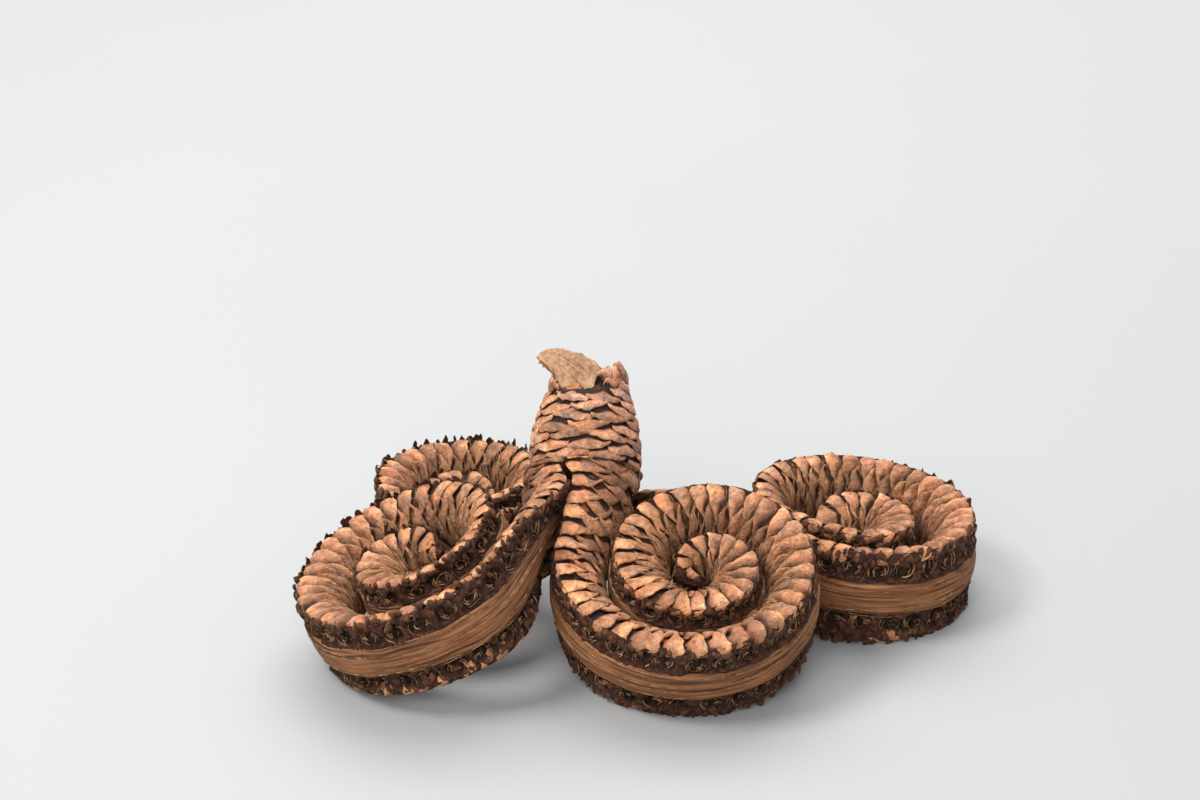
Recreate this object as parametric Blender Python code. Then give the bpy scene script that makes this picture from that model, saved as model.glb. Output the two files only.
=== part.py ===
"""Rams horn pod: dried palm flower spike, slit from its tip into four arms that curled into flat scrolls.

Metres, +Z up, +Y away from the viewer, lying on the plane Z = 0.
Two solids: the brown bract body with its overlapping scales, and the tan wood that runs inside the trunk
and shows as a strip on the outside of every curl.
"""
import math

import bpy
import numpy as np

MM = 0.001

# Trunk: where the slit begins, and how the trunk leans away from the viewer
SLIT_TOP = np.array((-4.7, 0.7, 43.0)) * MM
LEAN_BACK = math.radians(42.0)
LEAN_RIGHT = math.radians(2.9)
TRUNK_LENGTH = 26.0 * MM
TRUNK_RADIUS = 17.2 * MM
TRUNK_TOP_RADIUS = 12.6 * MM
CRACK_ANGLE = -21.0

# Wood
CORE_RADIUS = 5.2 * MM
STRIP_HALF_WIDTH = 4.9 * MM
STRIP_DEPTH = 3.0 * MM
GAP = 0.3 * MM
STUB_DIRECTION = (-0.96, 0.22, 0.03)
STUB_LENGTH = 12.8 * MM

# Scales
ARC_SEGMENTS = 6
ARM_ROW = 6.8 * MM
TRUNK_ROW = 3.75 * MM
STEP_LENGTH = 0.9 * MM
RELIEF = 0.75 * MM
SCALLOP = 0.8 * MM
PIT_DEPTH = 1.8 * MM
TRUNK_SCALES = 8

# Arms
TIP_WIDTH_FACTOR = 0.72
TIP_TAPER = 12.0 * MM
PATH_STEP = 0.5 * MM
LEAVE_LENGTH = 4.0 * MM
LEAD_SMOOTHING = 4
LEAD_BLEND = 25.0 * MM
SECTION_SMOOTHING = 1500
KERF_LENGTH = 6.0 * MM

# Ground: whatever would lie lower than this is pressed flat onto the ground
PRESSED = 2.2 * MM

# Each arm: angle of its quarter round the trunk; sense of its curl seen from above (1 is anticlockwise);
# centre and tilt of its coil; angle where the coil starts; then, at each quarter turn from there, the
# radius of the wood line and the thickness of the arm; points that the line passes on its way from the
# trunk; half of the arm's width; quarter turns where the coil begins and ends; distances from the trunk
# by which the arm has its own thickness and width, and faces its coil; splay and narrowing at the slit.
ARMS = {
    "front_right": dict(
        quarter=CRACK_ANGLE + 45, sense=1, centre=(28.3, -38.0, 24.9), tilt=(-0.027, -0.319),
        start=180.0,
        radii=(42.5, 38.6, 34.5, 31.5, 25.5, 21.2, 19.0, 12.4, 6.0),
        thickness=(13.0, 14.5, 14.0, 13.0, 11.5, 12.0, 14.5, 10.6, 6.0),
        way=((-8.8, -21.0, 33.0),), half_width=14.2, first=-0.2, last=7.6,
        flat_by=26.0, wide_by=26.0, twist_end=80.0, splay=0.15, kerf=8.0),
    "front_left": dict(
        quarter=CRACK_ANGLE - 45, sense=-1, centre=(-50.4, -30.4, 25.6), tilt=(-0.392, -0.087),
        start=-45.0,
        radii=(43.5, 39.4, 34.6, 29.5, 22.0, 20.5, 17.6, 9.2),
        thickness=(9.5, 13.5, 14.0, 12.0, 10.5, 12.5, 13.0, 8.0),
        way=((-12.8, -20.0, 37.0), (-17.5, -42.0, 37.0)), half_width=13.2, first=0.1, last=6.6,
        flat_by=26.0, wide_by=26.0, twist_end=80.0, splay=0.15, kerf=8.0),
    "back_left": dict(
        quarter=CRACK_ANGLE - 135, sense=-1, centre=(-40.2, 29.3, 14.4), tilt=(-0.03, 0.0),
        start=-45.0,
        radii=(30.0, 28.5, 31.5, 28.0, 15.5, 14.5, 15.5, 10.5),
        thickness=(10.5, 12.5, 12.5, 11.5, 9.5, 10.5, 11.5, 8.5),
        way=((-11.0, -4.5, 28.0), (-21.0, -3.5, 20.5)), half_width=14.0, first=0.5, last=6.6,
        flat_by=26.0, wide_by=48.0, twist_end=24.0, splay=0.2, kerf=15.0),
    "back_right": dict(
        quarter=CRACK_ANGLE + 135, sense=1, centre=(75.5, 7.8, 15.5), tilt=(0.05, 0.01),
        start=-140.0,
        radii=(32.0, 38.0, 38.0, 37.5, 18.0, 20.6, 20.0, 13.8),
        thickness=(9.5, 12.5, 12.5, 11.5, 10.5, 13.5, 14.5, 11.0),
        way=((2.5, -4.0, 32.5), (16.0, 1.0, 24.0), (37.0, 3.0, 18.5)), half_width=14.8,
        first=0.1, last=6.6,
        flat_by=12.0, wide_by=48.0, twist_end=24.0, splay=0.2, kerf=13.0),
}


def unit(vector):
    """Vector scaled to length one."""
    vector = np.asarray(vector, float)
    return vector / np.linalg.norm(vector)


def smooth(x):
    """Ease from 0 to 1 as x goes from 0 to 1."""
    x = np.clip(x, 0.0, 1.0)
    return x * x * (3.0 - 2.0 * x)


AXIS = unit((math.tan(LEAN_RIGHT), math.sin(LEAN_BACK), math.cos(LEAN_BACK)))
FRONT = unit(np.array((0.0, -1.0, 0.0)) + AXIS[1] * AXIS)
RIGHT = np.cross(AXIS, FRONT) * -1.0
RIGHT = RIGHT * np.sign(RIGHT[0])


def outward(angle):
    """Direction out of the trunk at an angle in degrees: 0 is the front, positive to the right."""
    return FRONT * math.cos(math.radians(angle)) + RIGHT * math.sin(math.radians(angle))


def through(values, position):
    """Smooth curve through evenly spaced values, read at a position counted in values."""
    values = np.asarray(values, float)
    position = np.clip(position, 0.0, len(values) - 1 - 1e-9)
    i = np.floor(position).astype(int)
    f = position - i
    before = values[np.maximum(i - 1, 0)]
    here = values[i]
    after = values[i + 1]
    beyond = values[np.minimum(i + 2, len(values) - 1)]
    bend = 2 * before - 5 * here + 4 * after - beyond
    rest = 3 * here - before - 3 * after + beyond
    return 0.5 * (2 * here + (after - before) * f + bend * f**2 + rest * f**3)


def spline(points, per_span=40):
    """Dense points on a centripetal Catmull-Rom curve through the given points."""
    p = np.vstack([2 * points[0] - points[1], points, 2 * points[-1] - points[-2]])
    dense = []
    for i in range(1, len(p) - 2):
        gaps = np.sqrt(np.linalg.norm(np.diff(p[i - 1:i + 3], axis=0), axis=1))
        t = np.concatenate([[0.0], np.cumsum(gaps)])
        u = np.linspace(t[1], t[2], per_span, endpoint=False)[:, None]

        def blend(first, second, low, high):
            return (t[high] - u) / (t[high] - t[low]) * first + (u - t[low]) / (t[high] - t[low]) * second

        a1 = blend(p[i - 1], p[i], 0, 1)
        a2 = blend(p[i], p[i + 1], 1, 2)
        a3 = blend(p[i + 1], p[i + 2], 2, 3)
        dense.append(blend(blend(a1, a2, 0, 2), blend(a2, a3, 1, 3), 1, 2))
    dense.append(p[-2][None])
    return np.vstack(dense)


def resample(points, step):
    """Points at an even spacing near step, and their distances along the line."""
    lengths = np.linalg.norm(np.diff(points, axis=0), axis=1)
    along = np.concatenate([[0.0], np.cumsum(lengths)])
    count = int(round(along[-1] / step))
    even = np.linspace(0.0, along[-1], count + 1)
    return np.stack([np.interp(even, along, points[:, k]) for k in range(3)], axis=1), even


class ArmPath:
    """Wood line of an arm with its frame: along the arm, towards its scaly side, and across."""

    def __init__(self, arm):
        self.arm = arm
        tilt_x, tilt_y = arm["tilt"]
        normal = np.array((tilt_x, tilt_y, math.sqrt(1 - tilt_x**2 - tilt_y**2)))
        across = unit(np.array((1.0, 0.0, 0.0)) - normal[0] * normal)
        deep = np.cross(normal, across)
        centre = np.array(arm["centre"]) * MM
        quarter = outward(arm["quarter"])

        turn = np.arange(arm["first"], arm["last"] + 1e-6, 0.25)
        radius = through(arm["radii"], turn) * MM + np.maximum(-turn, 0) * 6 * MM
        angle = math.radians(arm["start"]) + arm["sense"] * turn * math.pi / 2
        coil = centre + np.outer(radius * np.cos(angle), across) + np.outer(radius * np.sin(angle), deep)

        leave = unit(-AXIS + arm["splay"] * quarter)
        lead = [SLIT_TOP, SLIT_TOP + LEAVE_LENGTH * leave] + [np.array(p) * MM for p in arm["way"]]
        points = spline(np.array(lead + list(coil)))
        coil_start = points[len(lead) * 40]
        points, along = resample(points, PATH_STEP)
        lead_end = along[np.argmin(np.linalg.norm(points - coil_start, axis=1))]
        for _ in range(LEAD_SMOOTHING):
            points, along = resample(points, PATH_STEP)
            soft = 0.25 * np.maximum(1 - smooth((along - lead_end) / LEAD_BLEND), 0.12)[2:-1, None]
            for _ in range(100):
                points[2:-1] += soft * (points[1:-2] + points[3:] - 2 * points[2:-1])
        points, along = resample(points, PATH_STEP)
        tangent = np.gradient(points, axis=0)
        tangent /= np.linalg.norm(tangent, axis=1)[:, None]
        # sections turn more slowly than the line near the trunk, so that they never cut through each other
        tangent[0] = -AXIS
        soft = 0.25 * (1 - smooth((along - 0.7 * lead_end) / LEAD_BLEND))[1:-1, None]
        for _ in range(SECTION_SMOOTHING):
            tangent[1:-1] += soft * (tangent[:-2] + tangent[2:] - 2 * tangent[1:-1])
        tangent /= np.linalg.norm(tangent, axis=1)[:, None]

        # carry the quarter's direction down the line without twist, then turn it to face the coil's centre
        carried = np.zeros_like(points)
        carried[0] = unit(quarter - np.dot(quarter, tangent[0]) * tangent[0])
        for i in range(1, len(points)):
            carried[i] = unit(carried[i - 1] - np.dot(carried[i - 1], tangent[i]) * tangent[i])
        side = np.cross(tangent, carried)
        inward = arm["sense"] * np.cross(normal, tangent)
        inward /= np.linalg.norm(inward, axis=1)[:, None]
        start = int(np.argmin(np.linalg.norm(points - coil_start, axis=1)))
        twist = np.unwrap(np.arctan2((inward * side).sum(1), (inward * carried).sum(1)))
        twist -= 2 * math.pi * np.round(twist[start] / (2 * math.pi))
        twist *= smooth(along / min(along[start], arm["twist_end"] * MM))
        self.scaly = carried * np.cos(twist)[:, None] + side * np.sin(twist)[:, None]
        self.across = np.cross(tangent, self.scaly)
        self.points = points
        self.along = along
        self.length = along[-1]

        # thickness along the arm: read round the coil, by how far round each place is
        fine = np.linspace(arm["first"], arm["last"], 300)
        reach = np.concatenate([[0.0], np.cumsum(through(arm["radii"], fine))])[:-1]
        share = np.clip((along - along[start]) / (along[-1] - along[start]), 0, 1)
        turn_at = np.interp(share, reach / reach[-1], fine)
        self.thickness = through(arm["thickness"], turn_at) * MM
        narrowing = np.clip((along - 60 * MM) / (self.length - 60 * MM), 0, 1)
        self.width_factor = 1 - (1 - TIP_WIDTH_FACTOR) * narrowing**1.2

    def read(self, values, along):
        """Values of the line at a distance along it."""
        if values.ndim == 1:
            return np.interp(along, self.along, values)
        return np.stack([np.interp(along, self.along, values[:, k]) for k in range(3)], axis=-1)

    def place(self, along, depth, offset):
        """World points at distances along, depths to the scaly side and offsets across."""
        along = np.broadcast_to(along, np.shape(depth))
        return (self.read(self.points, along) + self.read(self.scaly, along) * depth[:, None]
                + self.read(self.across, along) * offset[:, None])

    def ledges(self):
        """Distances of the free edges of the scale rows."""
        count = int(round(self.length / ARM_ROW))
        return (np.arange(count) + 1) * (self.length - 0.2 * MM) / count - STEP_LENGTH

    def flattened(self, along):
        """0 where the arm is as deep as a quarter of the trunk, 1 where it has its own thickness."""
        return float(smooth(along / (self.arm["flat_by"] * MM)))

    def widened(self, along):
        """0 where the arm is as wide as a quarter of the trunk, 1 where it has its own width."""
        return float(smooth(along / (self.arm["wide_by"] * MM)))

    def tip(self, along):
        """Shrinking of the section over the last stretch: 1, falling to 0 at the very end."""
        return float(np.clip((self.length - along) / TIP_TAPER, 0, 1))


def bract_outline(path, along, row_phase, lift):
    """Section of the bract body: scaly arc, then the cut face with its pits and its channel for the wood.

    row_phase shifts the scallops by one vertex on alternate rows; lift is the relief of the scales, -1 to 1.
    """
    flat = path.flattened(along)
    wide = path.widened(along)
    tip = path.tip(along)
    closing = 0.35 + 0.65 * math.sqrt(tip)
    thick = path.read(path.thickness, along) * closing
    half = path.arm["half_width"] * MM * path.read(path.width_factor, along) * closing
    a = np.linspace(-1.0, 1.0, ARC_SEGMENTS + 1)

    quarter = math.pi / 4 - math.radians(path.arm["kerf"]) * float(smooth(along / KERF_LENGTH))
    quarter_angle = a * quarter
    open_angle = a * math.radians(98)
    depth = (1 - flat) * TRUNK_RADIUS * np.cos(quarter_angle)
    depth += flat * thick * (0.23 + 0.77 * np.cos(open_angle))
    offset = (1 - wide) * TRUNK_RADIUS * np.sin(quarter_angle)
    offset += wide * half * np.sin(np.clip(open_angle, -math.pi / 2, math.pi / 2))
    way_out = (1 - flat) * quarter_angle + flat * open_angle
    tips = np.where((np.arange(ARC_SEGMENTS + 1) + row_phase) % 2 == 0, 1.0, -1.0)
    relief = RELIEF * lift * (0.8 + 0.2 * tips) * smooth(along / (6 * MM)) * closing
    depth += relief * np.cos(way_out)
    offset += relief * np.sin(way_out)
    shift = SCALLOP * tips * smooth(along / (6 * MM)) * tip

    core = (CORE_RADIUS + GAP)
    strip = (STRIP_HALF_WIDTH + GAP) * path.read(path.width_factor, along) * closing
    channel = STRIP_DEPTH + GAP if tip > 0.99 else (STRIP_DEPTH + GAP) * tip + 0.2 * MM
    edge_depth = (1 - flat) * core * math.cos(quarter) + flat * 0.4 * MM
    edge_offset = (1 - wide) * core * math.sin(quarter) + wide * strip
    floor_depth = (1 - flat) * core * math.cos(math.pi / 12) + flat * channel
    floor_offset = (1 - wide) * core * math.sin(math.pi / 12) + wide * strip * 0.8
    pit = PIT_DEPTH * (row_phase % 2) * flat * tip + 0.3 * MM * flat
    pit_depth = 0.5 * (depth[-1] + edge_depth) + pit
    pit_offset = 0.5 * (offset[-1] + edge_offset)
    low_pit_offset = 0.5 * (offset[0] - edge_offset)
    low_pit_depth = 0.5 * (depth[0] + edge_depth) + pit

    depth = np.concatenate([depth, [pit_depth, edge_depth, floor_depth,
                                    floor_depth, edge_depth, low_pit_depth]])
    offset = np.concatenate([offset, [pit_offset, edge_offset, floor_offset,
                                      -floor_offset, -edge_offset, low_pit_offset]])
    shift = np.concatenate([shift, np.zeros(6)])
    return path.place(np.minimum(along + shift, path.length), depth, offset)


def strip_outline(path, along):
    """Section of the wood strip: cut edges, ridge and the side set into the bract body."""
    flat = path.flattened(along)
    wide = path.widened(along)
    width = STRIP_HALF_WIDTH * path.read(path.width_factor, along)
    quarter = math.pi / 4 - math.radians(path.arm["kerf"]) * float(smooth(along / KERF_LENGTH))
    inner = CORE_RADIUS * np.array((math.cos(math.pi / 12), math.sin(math.pi / 12)))
    edge_depth = (1 - flat) * CORE_RADIUS * math.cos(quarter) + flat * 0.1 * MM
    edge_offset = (1 - wide) * CORE_RADIUS * math.sin(quarter) + wide * width
    inner_depth = (1 - flat) * inner[0] + flat * STRIP_DEPTH
    inner_offset = (1 - wide) * inner[1] + wide * width * 0.78
    depth = np.array((edge_depth, -0.5 * MM * flat, edge_depth, inner_depth, inner_depth))
    offset = np.array((edge_offset, 0.0, -edge_offset, -inner_offset, inner_offset))
    return path.place(along, depth, offset)


class Shell:
    """Points and triangles of one closed solid."""

    def __init__(self):
        self.points = []
        self.faces = []

    def add(self, points):
        """Stores points and gives their numbers."""
        start = len(self.points)
        self.points.extend(np.asarray(points, float))
        return list(range(start, len(self.points)))

    def join(self, first, second, other_diagonal=False):
        """Band of triangles between two loops with the same count."""
        for j in range(len(first)):
            k = (j + 1) % len(first)
            if other_diagonal:
                self.faces.append((first[j], first[k], second[j]))
                self.faces.append((first[k], second[k], second[j]))
            else:
                self.faces.append((first[j], first[k], second[k]))
                self.faces.append((first[j], second[k], second[j]))

    def fan(self, loop, centre):
        """Triangles from a loop to one point."""
        for j in range(len(loop)):
            self.faces.append((loop[j], loop[(j + 1) % len(loop)], centre))

    def bridge(self, outer, inner):
        """Flat ring between two closed loops whose counts are in a whole ratio."""
        ratio = len(outer) // len(inner)
        for i in range(len(inner)):
            here, after = inner[i], inner[(i + 1) % len(inner)]
            run = [outer[(i * ratio + j) % len(outer)] for j in range(ratio + 1)]
            for j in range(ratio):
                self.faces.append((run[j], run[j + 1], here if j < (ratio + 1) // 2 else after))
            self.faces.append((run[(ratio + 1) // 2], after, here))


def make_bract_body(paths):
    """Scaly trunk round a bore, and the four arms that it splits into."""
    shell = Shell()
    around = 4 * ARC_SEGMENTS
    directions = [outward(CRACK_ANGLE - 360.0 * j / around) for j in range(around)]
    bore_angles = [CRACK_ANGLE - 30 * j for j in range(12)]

    # trunk, from its top down to the slit: each row ramps out to a scalloped free edge, then steps in
    rows = int(round(TRUNK_LENGTH / TRUNK_ROW))
    rings = []
    for row in range(rows):
        down = TRUNK_LENGTH * (row + 1) / rows
        share = 1 - (TRUNK_LENGTH - down) / TRUNK_LENGTH
        if row == 0:
            rings.append((0.0, 0.0, 0))
        if row < rows - 1:
            rings.append((down - STEP_LENGTH, 1.0, row))
            rings.append((down, -1.0, row))
    outer = []
    for down, lift, row in rings:
        radius = TRUNK_TOP_RADIUS + (TRUNK_RADIUS - TRUNK_TOP_RADIUS) * math.sin(
            math.pi / 2 * min(1.0, down / (0.75 * TRUNK_LENGTH)))
        ring = []
        for j, way in enumerate(directions):
            wave = math.cos(2 * math.pi * (j * TRUNK_SCALES / around + row / 2))
            high = TRUNK_LENGTH - down - SCALLOP * wave * (0.0 if down == 0 else 1.0)
            ring.append(SLIT_TOP + AXIS * high + way * (radius + RELIEF * lift * (0.8 + 0.2 * wave)))
        outer.append(shell.add(ring))
    slit = shell.add([SLIT_TOP + way * TRUNK_RADIUS for way in directions])
    outer.append(slit)
    bore_radius = CORE_RADIUS + GAP
    bore_top = shell.add([SLIT_TOP + AXIS * TRUNK_LENGTH + outward(a) * bore_radius for a in bore_angles])
    bore_slit = shell.add([SLIT_TOP + outward(a) * bore_radius for a in bore_angles])
    for upper, lower in zip(outer, outer[1:]):
        shell.join(upper, lower)
    shell.bridge(outer[0][::-1], bore_top[::-1])
    shell.join(bore_slit, bore_top)

    # each arm hangs from its quarter of the slit's edge; neighbours share the line where they part
    parting = []
    for k in range(4):
        rim = slit[k * ARC_SEGMENTS]
        bore = bore_slit[3 * k]
        parting.append(shell.add([0.5 * (shell.points[rim] + shell.points[bore])])[0])
    for name, path in paths.items():
        k = int(round((CRACK_ANGLE - 45 - path.arm["quarter"]) / 90)) % 4
        arc = [slit[(k * ARC_SEGMENTS + j) % around] for j in range(ARC_SEGMENTS + 1)]
        bore = [bore_slit[(3 * k + j) % 12] for j in range(4)]
        last = arc + [parting[(k + 1) % 4]] + bore[::-1] + [parting[k]]
        for row, along in enumerate(path.ledges()):
            for step_in, lift in ((0.0, 1.0), (STEP_LENGTH, -1.0)):
                loop = shell.add(bract_outline(path, along + step_in, row, lift))
                shell.join(last, loop)
                last = loop
        end = np.mean([shell.points[i] for i in last], axis=0)
        tip = end + 1.5 * MM * unit(path.points[-1] - path.points[-8])
        shell.fan(last, shell.add([tip])[0])
    return shell


def make_wood(paths):
    """Wood of the spike: broken stub, core of the trunk, and one strip down every arm."""
    shell = Shell()
    angles = [CRACK_ANGLE - 30 * j for j in range(12)]
    top = SLIT_TOP + AXIS * TRUNK_LENGTH
    stub = unit(STUB_DIRECTION)
    sideways = unit(np.cross(stub, AXIS))
    end = top + AXIS * 10.9 * MM + stub * STUB_LENGTH

    loops = []
    stations = (
        (SLIT_TOP, AXIS, 1.0, 1.0),
        (top - AXIS * 3 * MM, AXIS, 1.0, 1.0),
        (top + AXIS * 1.0 * MM, AXIS, 1.0, 1.0),
        (top + AXIS * 4.2 * MM + stub * 0.2 * MM, unit(AXIS + 0.12 * stub), 1.05, 1.2),
        (top + AXIS * 9.3 * MM + stub * 2.0 * MM, unit(AXIS + 0.9 * stub), 0.95, 1.25),
        (end - stub * 5.4 * MM, unit(stub + 0.15 * AXIS), 0.84, 1.12),
        (end, unit(stub - 0.9 * AXIS), 0.7, 0.92),
    )
    level = np.cross(AXIS, sideways)
    for centre, along, wide, thin in stations:
        other = np.cross(along, sideways)
        ring = []
        for angle in angles:
            way = CORE_RADIUS * outward(angle)
            ring.append(centre + wide * np.dot(way, sideways) * sideways + thin * np.dot(way, level) * other)
        loops.append(shell.add(ring))
    for upper, lower in zip(loops[1:], loops):
        shell.join(upper, lower)
    broken = shell.add([end - stub * 1.5 * MM])[0]
    shell.fan(loops[-1][::-1], broken)

    apex = shell.add([SLIT_TOP])[0]
    for name, path in paths.items():
        k = int(round((CRACK_ANGLE - 45 - path.arm["quarter"]) / 90)) % 4
        ring = [loops[0][(3 * k + j) % 12] for j in range(4)]
        last = [ring[3], apex, ring[0], ring[1], ring[2]]
        reach = path.length - TIP_TAPER - 2 * MM
        for along in path.ledges():
            for place in (along, along + STEP_LENGTH):
                if place < reach:
                    loop = shell.add(strip_outline(path, place))
                    shell.join(last, loop, other_diagonal=True)
                    last = loop
        centre = np.mean([shell.points[i] for i in last], axis=0)
        shell.fan(last, shell.add([centre])[0])
    return shell


def rest_on_ground(shells):
    """Presses the lowest points flat at Z = 0 and puts the middle of the outline's box over the origin."""
    for shell in shells:
        for point in shell.points:
            if point[2] < PRESSED:
                point[2] = 0.0
    everything = np.vstack([np.array(shell.points) for shell in shells])
    middle = 0.5 * (everything.min(axis=0) + everything.max(axis=0))
    for shell in shells:
        for point in shell.points:
            point[:2] -= middle[:2]


def make_object(name, shell, colour, roughness):
    """Mesh object from a shell, with its own material."""
    mesh = bpy.data.meshes.new(name)
    mesh.from_pydata([tuple(p) for p in shell.points], [], shell.faces)
    mesh.update()
    material = bpy.data.materials.new(name)
    material.use_nodes = True
    surface = material.node_tree.nodes["Principled BSDF"]
    surface.inputs["Base Color"].default_value = (*colour, 1.0)
    surface.inputs["Roughness"].default_value = roughness
    surface.inputs["Metallic"].default_value = 0.0
    mesh.materials.append(material)
    made = bpy.data.objects.new(name, mesh)
    bpy.context.scene.collection.objects.link(made)
    return made


def main():
    for old in list(bpy.data.objects):
        bpy.data.objects.remove(old, do_unlink=True)
    paths = {name: ArmPath(arm) for name, arm in ARMS.items()}
    body = make_bract_body(paths)
    wood = make_wood(paths)
    rest_on_ground([body, wood])
    make_object("bract_body", body, (0.22, 0.10, 0.055), 0.85)
    make_object("woody_axis", wood, (0.42, 0.27, 0.15), 0.75)


main()
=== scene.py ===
"""Looks of the rams horn pod: every scale, flower pit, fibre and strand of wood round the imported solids.

Metres, +Z up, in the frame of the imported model. Along an arm, distances are measured on its wood line;
across it, the scaly arc runs from -1 at the lower rim to 1 at the upper rim.
"""
import math

import bpy
import numpy as np
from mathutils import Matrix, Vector


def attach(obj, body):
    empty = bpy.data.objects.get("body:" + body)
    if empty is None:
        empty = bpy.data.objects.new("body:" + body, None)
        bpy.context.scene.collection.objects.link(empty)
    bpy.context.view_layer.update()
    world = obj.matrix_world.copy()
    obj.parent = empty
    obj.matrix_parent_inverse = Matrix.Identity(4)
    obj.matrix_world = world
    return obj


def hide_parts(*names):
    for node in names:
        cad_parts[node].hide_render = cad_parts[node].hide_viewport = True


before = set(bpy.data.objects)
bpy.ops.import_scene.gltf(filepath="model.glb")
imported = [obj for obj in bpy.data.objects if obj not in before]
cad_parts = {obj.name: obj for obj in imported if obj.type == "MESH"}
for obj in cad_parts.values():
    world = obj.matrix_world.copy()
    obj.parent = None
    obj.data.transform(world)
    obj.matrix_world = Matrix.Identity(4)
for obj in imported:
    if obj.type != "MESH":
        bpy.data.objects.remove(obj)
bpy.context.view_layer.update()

MM = 0.001
SEED = 17

# Shape of the solids, as in the part's source
SLIT_TOP = np.array((-4.7, 0.7, 43.0)) * MM
LEAN_BACK = math.radians(42.0)
LEAN_RIGHT = math.radians(2.9)
TRUNK_LENGTH = 26.0 * MM
TRUNK_RADIUS = 17.2 * MM
TRUNK_TOP_RADIUS = 12.6 * MM
CRACK_ANGLE = -21.0
CORE_RADIUS = 5.2 * MM
STRIP_HALF_WIDTH = 4.9 * MM
STRIP_DEPTH = 3.0 * MM
STUB_DIRECTION = (-0.96, 0.22, 0.03)
STUB_LENGTH = 12.8 * MM
TIP_WIDTH_FACTOR = 0.72
TIP_TAPER = 12.0 * MM
PATH_STEP = 0.5 * MM
LEAVE_LENGTH = 4.0 * MM
LEAD_SMOOTHING = 4
LEAD_BLEND = 25.0 * MM
SECTION_SMOOTHING = 1500
KERF_LENGTH = 6.0 * MM

# Middle of the layout's box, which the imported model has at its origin
LAYOUT_MIDDLE = np.array((13.03, -8.52, 0.0)) * MM
SPLINE_STEPS = 40

# Departures from the solids: the slit opens lower, and the stub sits lower and is blockier
KERF_START = 5.0 * MM
STUB_DROP = 1.7 * MM
STUB_GROOVES = 14
STUB_SQUARENESS = 0.6

# Arms, in millimetres and degrees, with a radius and a thickness for each quarter turn from the start.
# The front right arm is thicker than its solid, so that the ground doesn't show between its turns.
FRONT_ARM = dict(flat_by=26.0, wide_by=26.0, twist_end=80.0, splay=0.15, kerf=8.0)
BACK_ARM = dict(wide_by=48.0, twist_end=24.0, splay=0.2)

ARMS = {
    "front_right": dict(
        quarter=CRACK_ANGLE + 45, sense=1, centre=(28.3, -38.0, 24.9), tilt=(-0.027, -0.319),
        start=180.0,
        radii=(42.5, 38.6, 34.5, 31.5, 25.5, 21.2, 19.0, 12.4, 6.0),
        thickness=(15.6, 15.2, 14.0, 13.6, 17.0, 15.2, 14.8, 11.0, 6.5),
        way=((-8.8, -21.0, 33.0),), half_width=14.2, first=-0.2, last=7.6, **FRONT_ARM),
    "front_left": dict(
        quarter=CRACK_ANGLE - 45, sense=-1, centre=(-50.4, -30.4, 25.6), tilt=(-0.392, -0.087),
        start=-45.0,
        radii=(43.5, 39.4, 34.6, 29.5, 22.0, 20.5, 17.6, 9.2),
        thickness=(9.5, 13.5, 14.0, 12.0, 10.5, 12.5, 13.0, 8.0),
        way=((-12.8, -20.0, 37.0), (-17.5, -42.0, 37.0)), half_width=13.2, first=0.1, last=6.6,
        **FRONT_ARM),
    "back_left": dict(
        quarter=CRACK_ANGLE - 135, sense=-1, centre=(-40.2, 29.3, 14.4), tilt=(-0.03, 0.0),
        start=-45.0,
        radii=(30.0, 28.5, 31.5, 28.0, 15.5, 14.5, 15.5, 10.5),
        thickness=(10.5, 12.5, 12.5, 11.5, 9.5, 10.5, 11.5, 8.5),
        way=((-11.0, -4.5, 28.0), (-21.0, -3.5, 20.5)), half_width=14.0, first=0.5, last=6.6,
        flat_by=26.0, kerf=15.0, **BACK_ARM),
    "back_right": dict(
        quarter=CRACK_ANGLE + 135, sense=1, centre=(75.5, 7.8, 15.5), tilt=(0.05, 0.01),
        start=-140.0,
        radii=(32.0, 38.0, 38.0, 37.5, 18.0, 20.6, 20.0, 13.8),
        thickness=(9.5, 12.5, 12.5, 11.5, 10.5, 13.5, 14.5, 11.0),
        way=((2.5, -4.0, 32.5), (16.0, 1.0, 24.0), (37.0, 3.0, 18.5)), half_width=14.8,
        first=0.1, last=6.6, flat_by=12.0, kerf=13.0, **BACK_ARM),
}

# Scales
ROW_PITCH = 3.2 * MM
SCALE_WIDTH = 12.0 * MM
SCALE_DROP = 3.4 * MM
SCALE_THICKNESS = 0.55 * MM
SINK = 1.5 * MM
RIM_WRAP = 2.6
OPEN_ANGLE = math.radians(98)
FACE_TURN = math.radians(72)
TRUNK_ROW = 3.1 * MM
TRUNK_DROP = 1.25 * MM
TRUNK_SCALES = 8
TRUNK_SINK = 0.75 * MM
COLLAR_SCALES = 9

# Points of a scale, from under the scale before it, below 0, to its tip at 1
FINE_ROWS = (-0.8, -0.25, 0.0, 0.13, 0.32, 0.56, 0.80, 0.93, 1.0)
FINE_COLUMNS = 11
FLAKE_ROWS = (-0.8, 0.0, 0.35, 0.80, 1.0)
FLAKE_COLUMNS = 5

# Body, wood and hairs of an arm
CORE_INSET = 1.7 * MM
BODY_RING = 0.75 * MM
WOOD_RING = 1.0 * MM
WOOD_GROOVES = 15
STRANDS_PER_ARM = 46
HAIRS_PER_ARM = 700

# Torn notch in the trunk's top, where the stub's foot shows
NOTCH_ANGLE = -22.0
NOTCH_HALF = 52.0
NOTCH_DEPTH = 6.5 * MM

# Last curl of each arm, drawn further in than its solid
TAIL_LENGTH = 14.0 * MM

# Furthest that torn flakes reach past the upper rims, in millimetres
UPPER_FLAKES = dict(front_right=0.2, front_left=-0.4, back_left=-1.0, back_right=1.5)

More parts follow.
